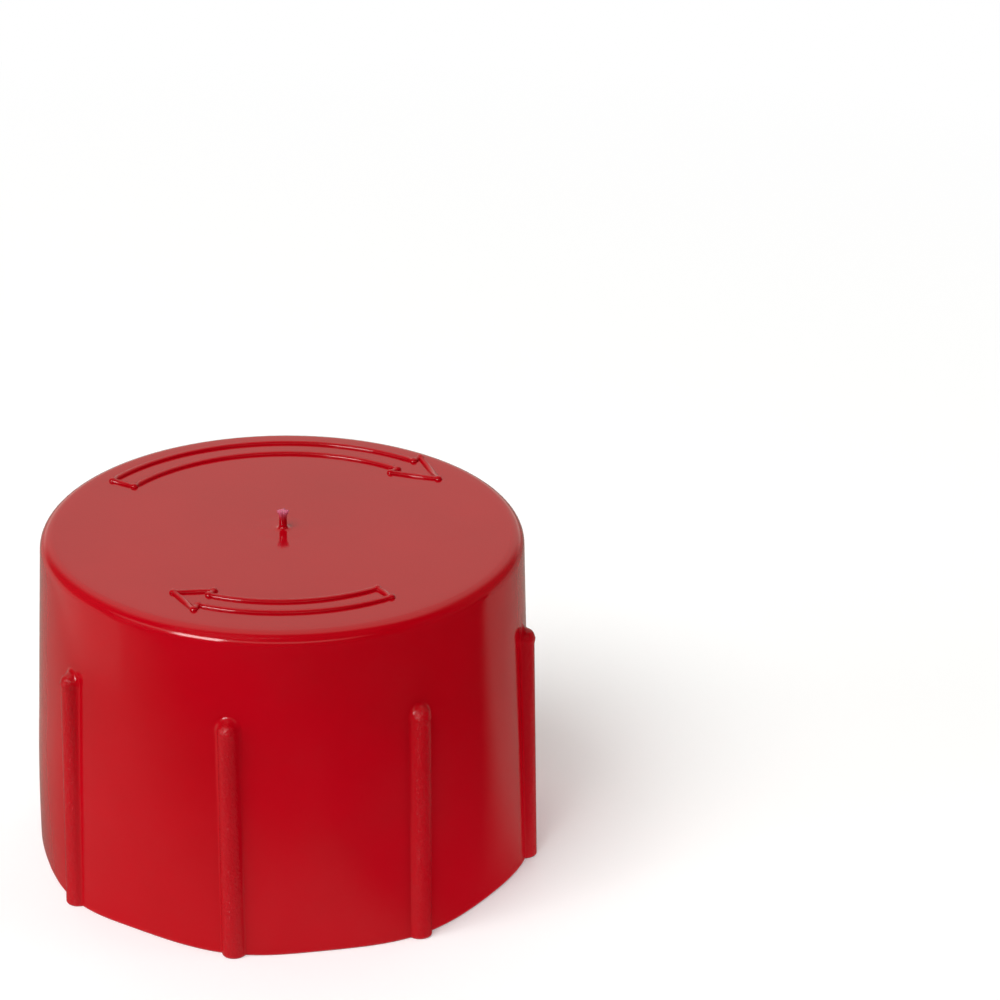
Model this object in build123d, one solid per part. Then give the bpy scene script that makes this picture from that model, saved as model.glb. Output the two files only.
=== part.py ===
"""Threaded protection cap for a 1 1/16-12 male fitting end, moulded in one piece of
polyethylene: a drafted cup with eight grip beads, drawn in between the beads at the
open end. The bore is the wall at the root of the thread.

Millimetres, +Z up. The origin is the centre of the rim: the cap stands on its open end.
"""
from build123d import *
import os
from math import cos, pi, sin

# Inside
THREAD_ROOT_DIA = 27.24
BORE_TOP = 12.9            # the straight bore ends here and narrows to the floor
END_THICKNESS = 2.3
FLOOR_CORNER = 0.3         # leg of the small slope between bore and floor
LEAD_IN_HEIGHT = 2.2       # plain mouth below the round bore
LEAD_IN_AT_BEADS = 0.55    # relief of the mouth beyond the bore, on the bead lines
LEAD_IN_BETWEEN = 0.33     # the same, midway between two beads

# Outside
HEIGHT = 20.4              # rim to closed end
RIM_WALL = 1.43            # from the bore to the outside of the rim, on the bead lines
DRAFT = 0.76               # how far the outside leans in from the rim to the closed end
FLOOR_WALL = 0.98          # from the edge of the floor to the outside of the closed end
RIM_DRAWN_IN = 0.3         # how far the rim is drawn in midway between two beads
SHAPED_HEIGHT = 8.3        # height above the rim over which the wall is drawn in
SHAPED_SECTIONS = 5        # sections that shape it
BLEND_HEIGHT = 0.7         # from the last of them to the round wall above
END_EDGE_RADIUS = 0.8
RIM_EDGE_BREAK = 0.1

# Grip beads, standing up the wall
BEADS = 8
BEAD_TOP = 14.8            # top of a bead above the rim
BEAD_WIDTH = 1.4
BEAD_PROUD_AT_RIM = 0.54
BEAD_PROUD_AT_TOP = 0.7
BEAD_HEAD_DIA = 1.48
BEAD_HEAD_HEIGHT = 0.66    # from the head's middle to its top
BEAD_HEAD_EDGE = 0.33      # straight part of the head, as a share of its height
BEAD_HEAD_TAPER = 0.55     # narrow ends of the head, as a share of its middle
BEAD_HEAD_PROUD = 0.82

# Remains of the moulding gate, in the middle of the closed end
GATE_HEIGHT = 1.2
GATE_DIA = 0.46

OVERLAP = 0.25             # depth by which joined forms run into one another

BORE = THREAD_ROOT_DIA / 2
RIM_RADIUS = BORE + RIM_WALL
END_RADIUS = RIM_RADIUS - DRAFT
FLOOR_RADIUS = END_RADIUS - FLOOR_WALL
FLOOR_Z = HEIGHT - END_THICKNESS
HALF_SECTOR = 180 / BEADS  # angle from a bead to midway between two, where outlines start


def wall_radius(z):
    """Outside radius of the wall on a bead line at height z."""
    return RIM_RADIUS - DRAFT * z / HEIGHT


def drawn_in(z):
    """How far the wall is drawn in between two beads: most at the rim, easing to none."""
    return RIM_DRAWN_IN * (1 - z / SHAPED_HEIGHT) ** 2


def eight_sided(z, radius_at_beads, radius_between):
    """Face at height z inside a smooth outline through one point a bead and one between."""
    points = []
    for step in range(1, 2 * BEADS + 1):
        radius = radius_between if step % 2 else radius_at_beads
        angle = pi * step / BEADS
        points.append((radius * cos(angle), radius * sin(angle), z))
    return make_face(Spline(*points, periodic=True))


def shaped_section(z):
    return eight_sided(z, wall_radius(z), wall_radius(z) - drawn_in(z))


def wall_body():
    """Solid form of the wall: the shaped skirt, a short blend, then a cone to the closed end."""
    step = SHAPED_HEIGHT / (SHAPED_SECTIONS - 1)
    skirt = loft([shaped_section(step * i) for i in range(SHAPED_SECTIONS)])
    cone_z = SHAPED_HEIGHT + BLEND_HEIGHT
    seat = Pos(0, 0, cone_z) * Rot(0, 0, HALF_SECTOR)
    blend = loft([shaped_section(SHAPED_HEIGHT), seat * Circle(wall_radius(cone_z))], ruled=True)
    on_seat = (Align.CENTER, Align.CENTER, Align.MIN)
    cone = seat * Cone(wall_radius(cone_z), END_RADIUS, HEIGHT - cone_z, align=on_seat)
    return skirt + blend + cone


def bead():
    """Grip bead on +X: a round bar laid up the wall, standing out further under its head."""
    radius = BEAD_WIDTH / 2
    head_z = BEAD_TOP - BEAD_HEAD_HEIGHT
    foot = Vector(RIM_RADIUS + BEAD_PROUD_AT_RIM - radius, 0, 0)
    top = Vector(wall_radius(head_z) + BEAD_PROUD_AT_TOP - radius, 0, head_z)
    below = foot - (top - foot) * (BEAD_WIDTH / head_z)
    bar = extrude(Plane(below, z_dir=top - below) * Circle(radius), (top - below).length)
    head = Pos(wall_radius(head_z) + BEAD_HEAD_PROUD, 0, head_z) * bead_head()
    above_rim = Pos(foot.X, 0, HEIGHT / 2) * Box(2 * BEAD_WIDTH, 2 * BEAD_WIDTH, HEIGHT)
    return (bar + head) & above_rim


def bead_head():
    """Head of a bead, a drum with sloped ends, its outermost line at the origin."""
    radius, tall = BEAD_HEAD_DIA / 2, BEAD_HEAD_HEIGHT
    narrow, edge = radius * BEAD_HEAD_TAPER, tall * BEAD_HEAD_EDGE
    side = [(0, -tall), (narrow, -tall), (radius, -edge), (radius, edge), (narrow, tall), (0, tall)]
    return Pos(-radius, 0, 0) * revolve(Plane.XZ * make_face(Polyline(*side, close=True)), Axis.Z)


def gate_mark():
    """Stub of the moulding gate, standing on the closed end."""
    stub = Cylinder(GATE_DIA / 2, GATE_HEIGHT + OVERLAP)
    return Pos(0, 0, HEIGHT + (GATE_HEIGHT - OVERLAP) / 2) * stub


def outside():
    """Wall with its beads, rounded at the closed end and topped by the gate mark."""
    body = wall_body() + [place * bead() for place in PolarLocations(0, BEADS)]
    body = fillet(body.edges().group_by(Axis.Z)[-1], END_EDGE_RADIUS)
    return body + gate_mark()


def bore_and_floor():
    """The hollow: a straight bore, then a taper to the flat floor."""
    corners = [(0, -OVERLAP), (BORE, -OVERLAP), (BORE, BORE_TOP), (FLOOR_RADIUS, FLOOR_Z), (0, FLOOR_Z)]
    hollow = revolve(Plane.XZ * make_face(Polyline(*corners, close=True)), Axis.Z)
    floor_edge = hollow.edges().filter_by(GeomType.CIRCLE).sort_by(Axis.Z)[-1]
    return chamfer(floor_edge, FLOOR_CORNER)


def lead_in():
    """Relief of the mouth: eight-sided like the rim, it meets the bore at LEAD_IN_HEIGHT."""
    mouth = eight_sided(0, BORE + LEAD_IN_AT_BEADS, BORE + LEAD_IN_BETWEEN)
    beyond = eight_sided(2 * LEAD_IN_HEIGHT, BORE - LEAD_IN_AT_BEADS, BORE - LEAD_IN_BETWEEN)
    return loft([mouth, beyond], ruled=True)


def cap():
    """The whole moulding."""
    body = outside() - (bore_and_floor() + lead_in())
    return chamfer(body.edges().group_by(Axis.Z)[0], RIM_EDGE_BREAK)


if __name__ == "__main__":
    os.makedirs("parts", exist_ok=True)
    export_step(cap(), "parts/cap.step")
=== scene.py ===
import math
import bpy
import numpy as np
from mathutils import Matrix, Vector


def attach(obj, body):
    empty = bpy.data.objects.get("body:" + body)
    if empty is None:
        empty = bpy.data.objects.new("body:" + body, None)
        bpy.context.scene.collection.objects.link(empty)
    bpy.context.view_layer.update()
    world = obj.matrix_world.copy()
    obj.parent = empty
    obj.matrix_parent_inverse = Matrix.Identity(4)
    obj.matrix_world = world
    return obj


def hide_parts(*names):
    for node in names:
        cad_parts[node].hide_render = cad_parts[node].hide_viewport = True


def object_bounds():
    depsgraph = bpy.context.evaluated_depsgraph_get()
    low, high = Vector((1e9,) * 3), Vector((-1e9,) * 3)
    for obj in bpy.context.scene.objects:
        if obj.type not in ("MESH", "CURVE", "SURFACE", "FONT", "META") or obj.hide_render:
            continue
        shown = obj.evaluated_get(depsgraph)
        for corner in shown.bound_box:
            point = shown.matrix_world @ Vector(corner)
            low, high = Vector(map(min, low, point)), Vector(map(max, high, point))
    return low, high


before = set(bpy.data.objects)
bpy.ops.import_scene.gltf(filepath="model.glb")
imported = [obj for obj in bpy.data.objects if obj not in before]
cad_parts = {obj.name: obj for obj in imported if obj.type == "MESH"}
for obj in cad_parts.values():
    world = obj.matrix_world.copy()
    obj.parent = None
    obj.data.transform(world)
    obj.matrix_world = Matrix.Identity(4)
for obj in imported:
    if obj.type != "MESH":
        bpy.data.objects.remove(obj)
CAD_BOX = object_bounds()
MM = 0.001

# ---------------------------------------------------------------- sizes, mm
GATE_HEIGHT, GATE_RADIUS = 1.2, 0.23
HEIGHT = (CAD_BOX[1].z - CAD_BOX[0].z) / MM - GATE_HEIGHT
RIM_RADIUS, DRAFT = 15.05, 0.76
END_RADIUS = RIM_RADIUS - DRAFT
DRAWN_IN, SHAPED_HEIGHT = 0.3, 8.3
END_EDGE_RADIUS, RIM_EDGE_RADIUS = 0.8, 0.1
BORE_RADIUS, BORE_TOP = 13.62, 12.9
FLOOR_RADIUS, FLOOR_Z, FLOOR_CORNER = END_RADIUS - 0.98, HEIGHT - 2.3, 0.3
LEAD_IN_HEIGHT, LEAD_IN_AT_BEADS, LEAD_IN_BETWEEN = 2.2, 0.55, 0.33

# Grip beads: a bar that ends in a ball, on each of the bead lines
BEADS, BEAD_TOP = 8, 14.8
BAR_RADIUS_AT_TOP, BAR_RADIUS_AT_RIM, HEAD_RADIUS = 0.57, 0.70, 0.56
PROUD_AT_RIM, PROUD_AT_TOP, HEAD_PROUD = 0.53, 0.69, 0.715
HEAD_Z = BEAD_TOP - HEAD_RADIUS
HEAD_BLEND, FOOT_BLEND = 0.20, 0.20  # roundings between bar and ball, and between bead and wall
FULLY_ROUGH = 0.45                   # height above the wall from which a bead has its full roughness
PAST_SIDE, PAST_TOP = 1.2, 1.5       # fall of a bar beyond its sides and beyond its head, in mm a mm

# Thread ridge: a right-handed helix
PITCH, TURNS, THREAD_START = 25.4 / 12, 4.4, 3.0
RIDGE_WIDTH, RIDGE_HEIGHT = 0.95, 0.42
RIDGE_FADE = 0.1                     # share of a turn over which each end rises
CREST = 1.2                          # roundness of the ridge: more makes it narrower

# What makes this one cap depart from its pattern, bead by bead from the one on +X round
STRAY = (0.0, 0.2, 0.0, -0.3, -2.4, 0.2, 0.2, 0.1)     # degrees off the bead line
LEAN = (0.0, 0.3, -0.2, 0.4, 0.0, 1.7, 0.9, -0.5)      # more degrees at the rim, less further up
LIFT = (0.42, 0.0, 0.0, 0.0, 0.0, 0.1, 0.2, 0.05)      # height of the head above HEAD_Z
UNEVEN, UNEVEN_TURN = 0.3, 0.4                         # how DRAWN_IN differs round the rim: share, phase
WAVER, WAVER_RISE, WAVER_FULL = 0.010, 0.31, 6.0       # slow waver of the wall, with no depth at the rim
SWELL_SIDE, SWELL_SPREAD = math.radians(196), 0.045    # where the wall swells, and how widely
SWELL, SWELL_MORE_AT_RIM, SWELL_MORE_HEIGHT = 0.05, 0.10, 9.0

# Gate stub. Its torn tip, from the middle out: radius, what a strand adds to it, depth below the top,
# what a strand takes from that, and how torn it looks
TIP = ((0.05, 0.0, 0.10, 0.0, 1.0), (0.10, 0.0, 0.06, 0.0, 1.0), (0.16, 0.08, 0.10, 0.10, 1.0),
       (0.20, 0.17, 0.17, 0.12, 1.0), (0.21, 0.12, 0.26, 0.08, 0.8), (GATE_RADIUS, 0.0, 0.40, 0.0, 0.25))
TIP_HOLLOW = 0.12                    # depth of the tip's middle below the top
# Foot of the stub, rounded into the closed end: radius, height above it
FOOT = ((GATE_RADIUS, 0.6), (0.237, 0.24), (0.26, 0.12), (0.32, 0.04), (0.44, 0.004))
RING, RING_DEPTH = (1.56, 1.62), 0.003   # faint ring about the gate

# Raised marks
STROKE_RADIUS, CORNER_RADIUS, STROKE_SUNK = 0.20, 0.25, 0.01

# ---------------------------------------------------------------- stage
FACING = math.radians(12.8)          # turn of the front of the stage about Z
PAPER_LIFT = 0.21                    # own brightness of the paper where it is seen
WHITE = (1.0, 1.0, 1.0, 1.0)


# ---------------------------------------------------------------- form of the wall, the bore and the beads
def smooth_max(a, b, k):
    """Larger of a and b, with the corner between them filled to a radius of about k."""
    h = np.clip(0.5 + 0.5 * (a - b) / k, 0, 1)
    return b + (a - b) * h + k * h * (1 - h)


def ease(x, lo, hi):
    """Smooth rise from 0 at lo to 1 at hi."""
    t = np.clip((x - lo) / (hi - lo), 0, 1)
    return t * t * (3 - 2 * t)


def fall(z, height):
    """1 at the rim, 0 at a height and above."""
    return np.clip(1 - z / height, 0, 1)


def nearest(phi):
    """Number of the bead nearest to phi."""
    return np.round(phi / (2 * math.pi / BEADS)).astype(int) % BEADS


def lean(phi, z):
    """Angle by which the bead nearest to phi strays at height z."""
    which = nearest(phi)
    return np.radians(np.array(STRAY)[which] + np.array(LEAN)[which] * fall(z, HEAD_Z))


def from_bead(phi):
    """Angle from the nearest true bead line."""
    step = 2 * math.pi / BEADS
    return (phi + step / 2) % step - step / 2


def between(phi):
    """0 on the bead lines, 1 midway between them."""
    return (1 - np.cos(BEADS * phi)) / 2


def cone(z):
    """Radius of the drafted wall on a bead line."""
    return RIM_RADIUS - DRAFT * z / HEIGHT


def wall(phi, z):
    """Outside radius of the wall without its beads."""
    drawn_in = DRAWN_IN * (1 - UNEVEN * np.sin(phi + UNEVEN_TURN)) * fall(z, SHAPED_HEIGHT) ** 2
    waver = WAVER * (np.sin(3 * phi + WAVER_RISE * z) * np.clip(z / WAVER_FULL, 0, 1) - 1)
    swell = SWELL + SWELL_MORE_AT_RIM * fall(z, SWELL_MORE_HEIGHT)
    swell = swell * np.exp((np.cos(phi - SWELL_SIDE) - 1) / SWELL_SPREAD)
    return cone(z) - drawn_in * between(phi) + waver + swell


def bar(a, z, head_z):
    """Outer radius of a bead's bar at angle a from its line, falling away past its sides and its top."""
    t = np.clip(z / head_z, 0, 1)
    radius = BAR_RADIUS_AT_RIM + (BAR_RADIUS_AT_TOP - BAR_RADIUS_AT_RIM) * t
    middle = cone(z) + PROUD_AT_RIM + (PROUD_AT_TOP - PROUD_AT_RIM) * t - radius
    side = middle * np.sin(a)
    on_bar = middle * np.cos(a) + np.sqrt(np.maximum(radius ** 2 - side ** 2, 0))
    beside = middle - PAST_SIDE * (np.abs(side) - radius)
    out = np.where(np.abs(side) < radius, on_bar, beside)
    return np.where(z > head_z, out - PAST_TOP * (z - head_z), out)


def head(a, z, head_z):
    """Outer radius of the ball at the top of a bead, falling away past it."""
    middle = cone(head_z) + HEAD_PROUD - HEAD_RADIUS
    under_root = HEAD_RADIUS ** 2 - (z - head_z) ** 2 - (middle * np.sin(a)) ** 2
    on_ball = middle * np.cos(a) + np.sqrt(np.maximum(under_root, 0))
    return np.where(under_root > 0, on_ball, middle + under_root)


def outside(phi, z):
    """Outside radius with the beads, and how far each point is on a bead."""
    a = from_bead(phi)
    head_z = HEAD_Z + np.array(LIFT)[nearest(phi)]
    bead = smooth_max(bar(a, z, head_z), head(a, z, head_z), HEAD_BLEND)
    plain = wall(phi, z)
    return smooth_max(plain, bead, FOOT_BLEND), ease(bead - plain, 0.0, FULLY_ROUGH)


def ridge(phi, z):
    """How far the thread ridge stands in from the bore."""
    turn = phi / (2 * math.pi)
    along = turn + np.round((z - THREAD_START) / PITCH - turn)
    fade = ease(along, 0, RIDGE_FADE) * ease(TURNS - along, 0, RIDGE_FADE)
    off = np.clip(np.abs(z - THREAD_START - PITCH * along) / (RIDGE_WIDTH / 2), 0, 1)
    return RIDGE_HEIGHT * fade * (1 - off ** 2) ** CREST


def inside(phi, z):
    """Radius of the hollow: the mouth, the threaded bore and the taper to the floor."""
    mouth = LEAD_IN_AT_BEADS + (LEAD_IN_BETWEEN - LEAD_IN_AT_BEADS) * between(phi)
    taper = (BORE_RADIUS - FLOOR_RADIUS) * np.clip((z - BORE_TOP) / (FLOOR_Z - BORE_TOP), 0, 1)
    return BORE_RADIUS + mouth * fall(z, LEAD_IN_HEIGHT) - taper - ridge(phi, z)


# ---------------------------------------------------------------- the moulding, one closed skin
def columns():
    """Angles round the cap, close together on the beads."""
    near = np.radians(np.concatenate([np.linspace(0, 3.4, 15), [3.8, 4.4, 5.4]]))
    far = np.linspace(near[-1], math.pi / BEADS, 9)[1:]
    half = np.concatenate([near, far])
    sector = np.concatenate([-half[:0:-1], half])[1:]
    return np.concatenate([sector + k * 2 * math.pi / BEADS for k in range(BEADS)])


PHI = columns()
STRANDS = 0.5 + 0.5 * np.sin(3 * PHI + 0.7) * np.sin(7 * PHI + 0.4)      # of the torn tip, 0 to 1


def ring(r, z, bead=0.0, torn=0.0):
    """Radius, height and the two attributes at every column."""
    return [np.broadcast_to(value, len(PHI)).copy() for value in (r, z, bead, torn)]


def quarter(angles, radius):
    """Steps round a quarter circle: how far in from its side, and how far from its end."""
    for t in np.radians(angles):
        yield radius * (1 - math.cos(t)), radius * (1 - math.sin(t))


def gate_rings():
    """From the torn tip of the gate stub down to its foot and the faint ring about it."""
    for r, out, depth, up, torn in TIP:
        yield ring(r + out * STRANDS, HEIGHT + GATE_HEIGHT - depth + up * STRANDS, torn=torn)
    for r, above in FOOT:
        yield ring(r, HEIGHT + above)
    for r in (0.62, 1.30, 1.50):
        yield ring(r, HEIGHT)
    for r in RING:
        yield ring(r, HEIGHT - RING_DEPTH)


def outside_rings():
    """Over the closed end and down the wall, close together at the heads of the beads."""
    for r in (1.82, 2.5, 5.0, 8.0, 11.0, 13.0):
        yield ring(r, HEIGHT)
    for inward, down in quarter(np.linspace(90, 0, 13), END_EDGE_RADIUS):
        r, bead = outside(PHI, HEIGHT - down)
        yield ring(r - inward, HEIGHT - down, bead)
    above, heads = np.linspace(HEIGHT - END_EDGE_RADIUS, 15.5, 6)[1:], np.linspace(15.4, 13.2, 36)
    for z in (*above, *heads, *np.linspace(13.0, 0.6, 26), 0.3, RIM_EDGE_RADIUS):
        r, bead = outside(PHI, z)
        yield ring(r, z, bead)


def rim_rings():
    """Round the two edges of the rim."""
    for inward, z in quarter((25, 50, 70, 90), RIM_EDGE_RADIUS):
        r, bead = outside(PHI, z)
        yield ring(r - inward, z, bead)
    for outward, z in quarter((90, 60, 30, 0), RIM_EDGE_RADIUS):
        yield ring(inside(PHI, z) + outward, z)


def inside_rings():
    """Up the hollow, close together on the thread, and over the floor."""
    mouth, thread = np.linspace(0.5, LEAD_IN_HEIGHT, 4), np.linspace(2.35, BORE_TOP, 76)
    for z in (*mouth, *thread, *np.linspace(13.5, FLOOR_Z - FLOOR_CORNER, 5)):
        yield ring(inside(PHI, z), z)
    for inward, down in quarter((30, 60, 90), FLOOR_CORNER):
        yield ring(FLOOR_RADIUS - inward, FLOOR_Z - down)
    for r in (9.0, 4.0, 0.5):
        yield ring(r, FLOOR_Z)


def quads(rings, around):
    """Faces between rings of points that are numbered ring by ring."""
    for i in range(rings - 1):
        for j in range(around):
            k = (j + 1) % around
            yield i * around + j, i * around + k, (i + 1) * around + k, (i + 1) * around + j


# ---------------------------------------------------------------- raised marks
def knob(sense):
    """Steps along a stroke, and radii there, of the ball at its start (-1) or its finish (1)."""
    steps = [(math.sin(t), math.cos(t)) for t in np.radians((-75, -50, -25, 0, 25, 45))]
    if sense > 0:
        steps = [(-along, r) for along, r in steps[::-1]]
    return [(CORNER_RADIUS * along, CORNER_RADIUS * r) for along, r in steps]


def stroke(points, sides=12):
    """Round raised line through points on the closed end, with a ball at each end."""
    points = np.array(points, float)
    step = np.diff(points, axis=0)
    ahead = np.concatenate([step, step[-1:]]) + np.concatenate([step[:1], step])
    ahead /= np.linalg.norm(ahead, axis=1)[:, None]
    rings = [(points[0] + ahead[0] * along, r, ahead[0]) for along, r in knob(-1)]
    rings += [(p, STROKE_RADIUS, a) for p, a in zip(points[1:-1], ahead[1:-1])]
    rings += [(points[-1] + ahead[-1] * along, r, ahead[-1]) for along, r in knob(1)]
    verts = []
    for (x, y), r, (ax, ay) in rings:
        for t in np.arange(sides) * 2 * math.pi / sides:
            side, up = r * math.cos(t), r * math.sin(t)
            verts.append((x - ay * side, y + ax * side, HEIGHT - STROKE_SUNK + up))
    last = (len(rings) - 1) * sides
    caps = [tuple(range(sides))[::-1], tuple(last + j for j in range(sides))]
    return verts, [*quads(len(rings), sides), *caps]


def polar(r, deg):
    """Point on the closed end: deg counterclockwise from the right of the stage's front."""
    a = math.radians(deg) + FACING
    return r * math.cos(a), r * math.sin(a)


def arc(r, start, end):
    """Points round the closed end, about 2.5 degrees apart."""
    n = max(3, int(abs(end - start) / 2.5))
    return [polar(r, start + (end - start) * i / n) for i in range(n + 1)]


def line(p, q):
    """Straight stroke, with the middle point that a stroke needs."""
    return [p, ((p[0] + q[0]) / 2, (p[1] + q[1]) / 2), q]


def arrow(r_in, r_out, tail, neck, tip, flare):
    """Strokes of an outlined arrow that runs round the closed end, in mm and degrees, from tail to tip."""
    point = polar((r_in + r_out) / 2, tip)
    wing_in, wing_out = polar(r_in - flare, neck), polar(r_out + flare, neck)
    return [arc(r_out, tail, neck), arc(r_in, tail, neck), line(polar(r_out, tail), polar(r_in, tail)),
            line(polar(r_out, neck), wing_out), line(polar(r_in, neck), wing_in),
            line(wing_out, point), line(wing_in, point)]


def marks():
    """Plain raised marks: an outlined arrow at the back and one in front show which way to turn."""
    back = arrow(10.85, 12.45, 146, 50, 36, 0.65)
    front = arrow(9.95, 11.35, -57, -115, -126, 0.6)
    return [stroke(points) for points in back + front]


def build_cap():
    """The moulding: the skin, closed by a point at the tip and one on the floor, and the marks."""
    rings = [*gate_rings(), *outside_rings(), *rim_rings(), *inside_rings()]
    around = len(PHI)
    on_bead = ease(np.abs(from_bead(PHI)), math.pi / BEADS, math.radians(6))
    verts = []
    for r, z, bead, _ in rings:
        phi = PHI + (lean(PHI, z) * on_bead if bead.any() else 0)
        verts += np.stack([r * np.cos(phi), r * np.sin(phi), z], 1).tolist()
    tip, floor = len(verts), len(verts) + 1
    verts += [(0, 0, HEIGHT + GATE_HEIGHT - TIP_HOLLOW), (0, 0, FLOOR_Z)]
    faces = [(a, d, c, b) for a, b, c, d in quads(len(rings), around)]
    faces += [(tip, j, (j + 1) % around) for j in range(around)]
    faces += [(floor, tip - around + (j + 1) % around, tip - around + j) for j in range(around)]
    for points, sides in marks():
        faces += [tuple(len(verts) + i for i in side) for side in sides]
        verts += points
    mesh = bpy.data.meshes.new("cap_moulding")
    mesh.from_pydata((np.array(verts) * MM).tolist(), [], faces)
    for name, column, at_tip in (("bead", 2, 0.0), ("torn", 3, 1.0)):
        values = np.zeros(len(verts), np.float32)
        values[:tip] = np.concatenate([one[column] for one in rings])
        values[tip] = at_tip
        mesh.attributes.new(name, "FLOAT", "POINT").data.foreach_set("value", values)
    mesh.shade_smooth()
    mesh.validate()
    mesh.update()
    ob = bpy.data.objects.new("cap_moulding", mesh)
    bpy.context.collection.objects.link(ob)
    return ob


# ---------------------------------------------------------------- shader nodes
class Net:
    """The shader nodes of a material or world, with short calls that make and link them."""

    def __init__(self, owner):
        owner.use_nodes = True
        self.tree = owner.node_tree
        self.tree.nodes.clear()

    def make(self, kind, inputs=None, **settings):
        """Node with its settings, and its inputs set or linked."""
        node = self.tree.nodes.new("ShaderNode" + kind)
        for name, value in settings.items():
            setattr(node, name, value)
        for key, value in (inputs or {}).items():
            if isinstance(value, bpy.types.NodeSocket):
                self.tree.links.new(value, node.inputs[key])
            else:
                node.inputs[key].default_value = value
        return node

    def maths(self, operation, a, b, clamp=False):
        """Result of one operation on two values."""
        return self.make("Math", {0: a, 1: b}, operation=operation, use_clamp=clamp).outputs[0]

    def ramp(self, source, low, high, at_low, at_high, kind="SMOOTHSTEP"):
        """From at_low where source is low or less to at_high where it is high or more."""
        ends = {"Value": source, "From Min": low, "From Max": high, "To Min": at_low, "To Max": at_high}
        return self.make("MapRange", ends, interpolation_type=kind).outputs["Result"]

    def noise(self, scale, detail=2.0, roughness=0.5):
        """Noise with about scale cells a metre."""
        values = {"Vector": self.place(), "Scale": scale, "Detail": detail, "Roughness": roughness}
        return self.make("TexNoise", values).outputs["Fac"]

    def place(self):
        """Position on the object, in metres."""
        return self.make("TexCoord").outputs["Object"]

    def attribute(self, name):
        """Value that the mesh holds for each point."""
        return self.make("Attribute", attribute_name=name).outputs["Fac"]

    def rays(self, *kinds):
        """1 for rays of these kinds, 0 for the others."""
        path = self.make("LightPath")
        found = path.outputs[kinds[0]]
        for kind in kinds[1:]:
            found = self.maths("MAXIMUM", found, path.outputs[kind])
        return found

    def colours(self, factor, a, b):
        """Colour a where factor is 0 and b where it is 1."""
        return self.make("Mix", {"Factor": factor, "A": a, "B": b}, data_type="RGBA").outputs["Result"]

    def blend(self, factor, a, b):
        """Shader a where factor is 0 and b where it is 1."""
        return self.make("MixShader", {0: factor, 1: a, 2: b}).outputs[0]


# ---------------------------------------------------------------- material of the cap
def plastic():
    """Glossy red polyethylene: slightly uneven, rougher on the beads, whitened where the gate tore."""
    mat = bpy.data.materials.new("red_polyethylene")
    net = Net(mat)
    blotches = net.ramp(net.noise(90, 3), 0.3, 0.7, 0, 1, "LINEAR")
    red = net.colours(blotches, (0.405, 0.0, 0.0045, 1), (0.455, 0.0001, 0.0065, 1))
    colour = net.colours(net.attribute("torn"), red, (0.62, 0.13, 0.22, 1))

    smears = net.ramp(net.noise(260, 4, 0.6), 0.3, 0.7, 0.09, 0.13, "LINEAR")
    roughness = net.maths("ADD", smears, net.ramp(net.attribute("bead"), 0, 1, 0.0, 0.06, "LINEAR"))

    waves = net.make("Bump", {"Strength": 0.12, "Distance": 0.06 * MM, "Height": net.noise(420)})
    strength = net.ramp(net.attribute("bead"), 0, 1, 0.008, 1.0, "LINEAR")
    grain = {"Strength": strength, "Distance": 0.07 * MM, "Height": net.noise(6500, 3, 0.6)}
    pits = net.make("Bump", {**grain, "Normal": waves.outputs[0]})

    surface = {"Base Color": colour, "Roughness": roughness, "IOR": 1.5, "Normal": pits.outputs[0]}
    net.make("OutputMaterial", {"Surface": net.make("BsdfPrincipled", surface).outputs[0]})
    return mat


cap = build_cap()
cap.data.materials.append(plastic())
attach(cap, "root")
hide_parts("cap")


# ---------------------------------------------------------------- camera
def camera():
    """Long lens from the right of the cap's front and above, with the cap low and left in its view."""
    azimuth, elevation, roll = (math.radians(deg) for deg in (9.7, 24.63, 0.825))
    distance, cap_right, cap_down = 245.47 * MM, -13.116 * MM, 20.205 * MM
    turn = Matrix.Rotation(azimuth, 3, "Z")
    level, forward = Vector((1, 0, 0)), Vector((0, math.cos(elevation), -math.sin(elevation)))
    upright = level.cross(forward)
    right = level * math.cos(roll) + upright * math.sin(roll)
    up = upright * math.cos(roll) - level * math.sin(roll)
    place = up * cap_down - right * cap_right - forward * distance
    data = bpy.data.cameras.new("camera")
    data.sensor_width, data.lens = 36, 144
    data.clip_start, data.clip_end = 0.01, 20
    cam = bpy.data.objects.new("camera", data)
    cam.matrix_world = Matrix([turn @ right, turn @ up, -(turn @ forward)]).transposed().to_4x4()
    cam.matrix_world.translation = turn @ place
    bpy.context.collection.objects.link(cam)
    bpy.context.scene.camera = cam


# ---------------------------------------------------------------- paper, cards and lamps
def direction(az, el):
    """Unit vector az degrees to the right of the stage's front and el degrees up."""
    a, e = math.radians(az - 90) + FACING, math.radians(el)
    return Vector((math.cos(a) * math.cos(e), math.sin(a) * math.cos(e), math.sin(e)))


def sheet(name, half, z, material, unseen_by=()):
    """Square sheet on the stage, hidden from the kinds of rays that are named."""
    corners = [(-half, -half, 0), (half, -half, 0), (half, half, 0), (-half, half, 0)]
    mesh = bpy.data.meshes.new(name)
    mesh.from_pydata(corners, [], [(0, 1, 2, 3)])
    mesh.materials.append(material)
    ob = bpy.data.objects.new(name, mesh)
    ob.location.z = z
    ob.rotation_euler.z = FACING
    bpy.context.collection.objects.link(ob)
    for kind in unseen_by:
        setattr(ob, "visible_" + kind, False)


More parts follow.
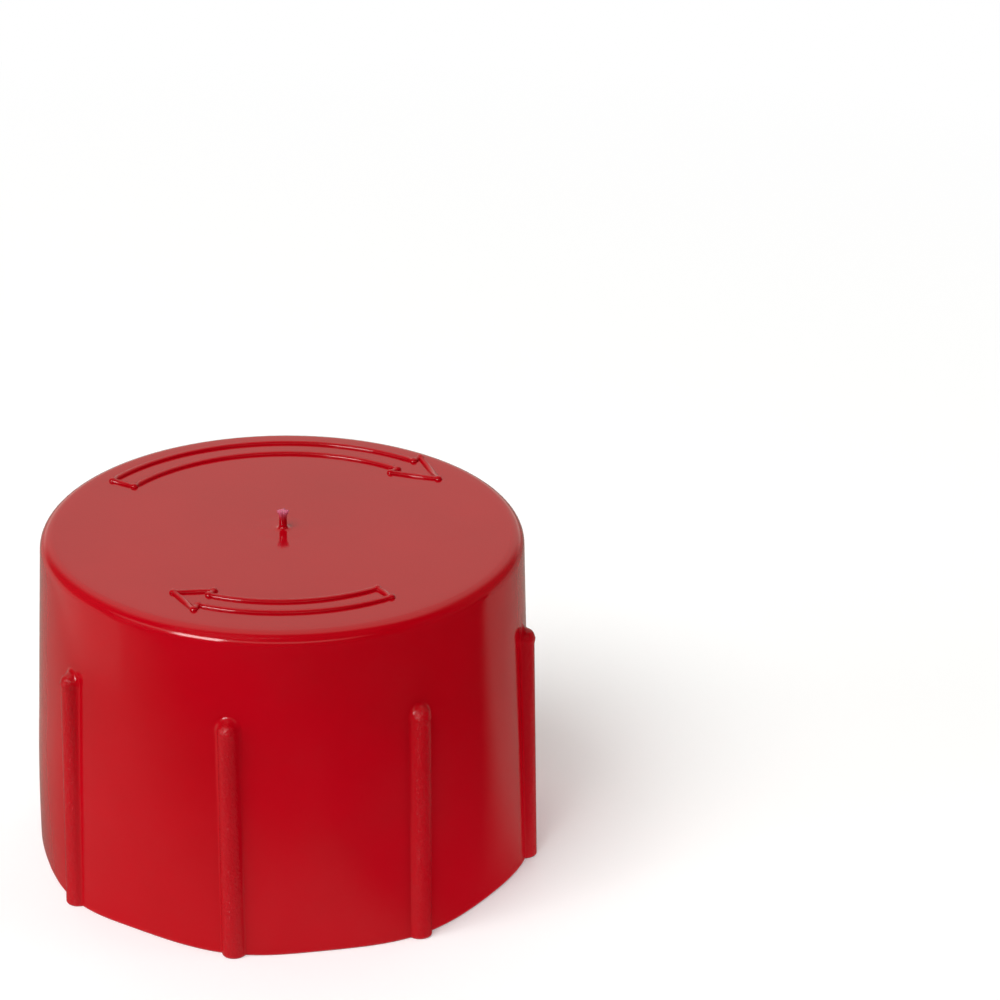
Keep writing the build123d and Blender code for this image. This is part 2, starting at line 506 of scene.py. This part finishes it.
def paper():
    """White paper that takes the cap's shadow and turns into a white backdrop away from it."""
    mat = bpy.data.materials.new("paper")
    net = Net(mat)
    seen = net.rays("Is Camera Ray", "Is Glossy Ray", "Is Transmission Ray")
    lift = net.maths("MULTIPLY", seen, PAPER_LIFT)
    matt = {"Base Color": (0.90, 0.90, 0.90, 1), "Roughness": 0.9, "Specular IOR Level": 0.0,
            "Emission Color": (0.93, 0.95, 1.0, 1), "Emission Strength": lift}
    near = net.make("BsdfPrincipled", matt).outputs[0]
    reach = net.make("VectorMath", {0: net.place()}, operation="LENGTH").outputs["Value"]
    far = net.maths("MULTIPLY", net.ramp(reach, 0.03, 0.15, 0.0, 1.0, "LINEAR"), seen)
    backdrop = net.make("Emission", {"Color": WHITE, "Strength": 1.0}).outputs[0]
    net.make("OutputMaterial", {"Surface": net.blend(far, near, backdrop)})
    return mat


def glow():
    """Weak light that rises from the paper round the foot of the cap."""
    mat = bpy.data.materials.new("glow")
    net = Net(mat)
    light = net.make("Emission", {"Strength": 1.4}).outputs[0]
    clear = net.make("BsdfTransparent").outputs[0]
    underneath = net.make("NewGeometry").outputs["Backfacing"]
    net.make("OutputMaterial", {"Surface": net.blend(underneath, light, clear)})
    return mat


def painted_reflection_card():
    """Painted reflection: a sheet seen only in the cap's reflections. It is black in front of the cap and
    thinner beside and behind it, so that the wall mirrors little pale floor.

    Metres on the stage: x to its right, y to its back.
    """
    mat = bpy.data.materials.new("painted_reflection_card")
    net = Net(mat)
    place = net.make("SeparateXYZ", {0: net.place()})
    x, y = place.outputs["X"], place.outputs["Y"]
    front, back = net.ramp(y, -0.042, -0.012, 1.0, 0.79), net.ramp(y, -0.004, 0.012, 0.0, 0.09)
    # Painted reflection: at the far left, away from the front, the card thins to a window, so that the wall
    # shows a pale panel there
    far_left, not_in_front = net.ramp(x, -0.0455, -0.0445, 0.14, 0.0), net.ramp(y, -0.018, -0.016, 0.0, 1.0)
    pale_reflection_window = net.maths("MULTIPLY", far_left, not_in_front, clamp=True)
    left = net.maths("SUBTRACT", net.maths("SUBTRACT", front, back, clamp=True), pale_reflection_window, clamp=True)
    # Painted shadow in the reflection: on the right, the card stays black closer to the cap and never clears
    # below 0.7, standing in for the cap's shadow on the floor as the wall mirrors it
    aslant = net.make("Math", {0: x, 1: -0.3, 2: y}, operation="MULTIPLY_ADD").outputs[0]
    right = net.ramp(aslant, -0.0138, -0.006, 1.0, 0.70)
    on_right = net.ramp(x, 0.005, 0.012, 0.0, 1.0)
    cover = net.make("Mix", {"Factor": on_right, "A": left, "B": right}).outputs["Result"]
    # Painted reflection: where clear, the card tints the mirrored floor warm; where covered, the wall mirrors
    # black
    clear = net.make("BsdfTransparent", {"Color": (1.0, 0.98, 0.86, 1)}).outputs[0]
    black = net.make("BsdfDiffuse", {"Color": (0.004, 0.004, 0.004, 1)}).outputs[0]
    net.make("OutputMaterial", {"Surface": net.blend(cover, clear, black)})
    return mat


def lamp(name, az, el, distance, width, height, power, glossy=True, diffuse=True):
    """Soft box that faces the cap: sizes in metres, power in watts."""
    data = bpy.data.lights.new(name, "AREA")
    data.shape = "RECTANGLE"
    data.size, data.size_y, data.energy = width, height, power
    ob = bpy.data.objects.new(name, data)
    towards = direction(az, el)
    ob.location = towards * distance
    ob.rotation_mode = "QUATERNION"
    ob.rotation_quaternion = towards.to_track_quat("Z", "Y")
    ob.visible_glossy, ob.visible_diffuse = glossy, diffuse
    bpy.context.collection.objects.link(ob)


def surroundings():
    """Studio walls in reflections, pale behind the cap and dark in front but for a band. White where seen."""
    world = bpy.data.worlds.new("studio")
    bpy.context.scene.world = world
    net = Net(world)
    towards = net.make("TexCoord").outputs["Generated"]
    up = net.make("SeparateXYZ", {0: towards}).outputs["Z"]     # 0 at the horizon, 1 overhead

    def facing(az):
        """1 for what lies towards az on the horizon, -1 for what lies opposite."""
        product = net.make("VectorMath", {0: towards, 1: direction(az, 0)}, operation="DOT_PRODUCT")
        return product.outputs["Value"]

    back = facing(180)
    screen = net.maths("MULTIPLY", net.ramp(up, 0.58, 0.88, 0.65, 0.78), net.ramp(up, 0.08, 0.22, 1.45, 1.0))
    screen = net.maths("MULTIPLY", screen, net.ramp(back, -0.1, 0.2, 0.06, 1.0))
    horizon = net.maths("MULTIPLY", net.ramp(up, 0.05, 0.12, 0.8, 0.0), net.ramp(back, -0.5, 0.0, 0.0, 1.0))
    aside = net.make("Math", {0: facing(90)}, operation="ABSOLUTE").outputs[0]
    behind = net.maths("MAXIMUM", screen, horizon)
    behind = net.maths("MULTIPLY", behind, net.ramp(aside, 0.40, 0.75, 1.0, 0.12))
    band = net.maths("MULTIPLY", net.ramp(up, 0.33, 0.40, 0.0, 1.0), net.ramp(up, 0.48, 0.56, 1.0, 0.0))
    band = net.maths("MULTIPLY", band, net.ramp(facing(-25), 0.25, 0.75, 0.0, 1.0))
    warm = {"Color": (1.0, 0.985, 0.88, 1), "Strength": net.maths("MAXIMUM", behind, band)}
    studio = net.make("Background", warm).outputs[0]
    backdrop = net.make("Background", {"Color": WHITE, "Strength": 1.0}).outputs[0]
    seen = net.rays("Is Camera Ray", "Is Transmission Ray")
    net.make("OutputWorld", {"Surface": net.blend(seen, studio, backdrop)})


camera()
sheet("floor", 3.0, 0.0, paper())
# Painted reflection: this card is seen by glossy rays only and paints dark into what the wall mirrors
sheet("painted_reflection_card", 3.0, 0.12 * MM, painted_reflection_card(), ("camera", "diffuse", "shadow", "transmission"))
sheet("reflector", 0.030, 0.08 * MM, glow(), ("camera", "glossy", "shadow", "transmission"))
lamp("key", -40, 56.5, 0.8, 0.5, 0.5, 4.85, glossy=False)
lamp("left_fill", -72, 15, 0.8, 0.4, 0.4, 1.6, glossy=False)
lamp("right_fill", 75, 15, 0.8, 0.4, 0.4, 1.5, glossy=False)
lamp("strip", -40, 24, 0.9, 0.34, 0.25, 3.0, diffuse=False)
surroundings()
bpy.context.scene.view_settings.view_transform = "Standard"
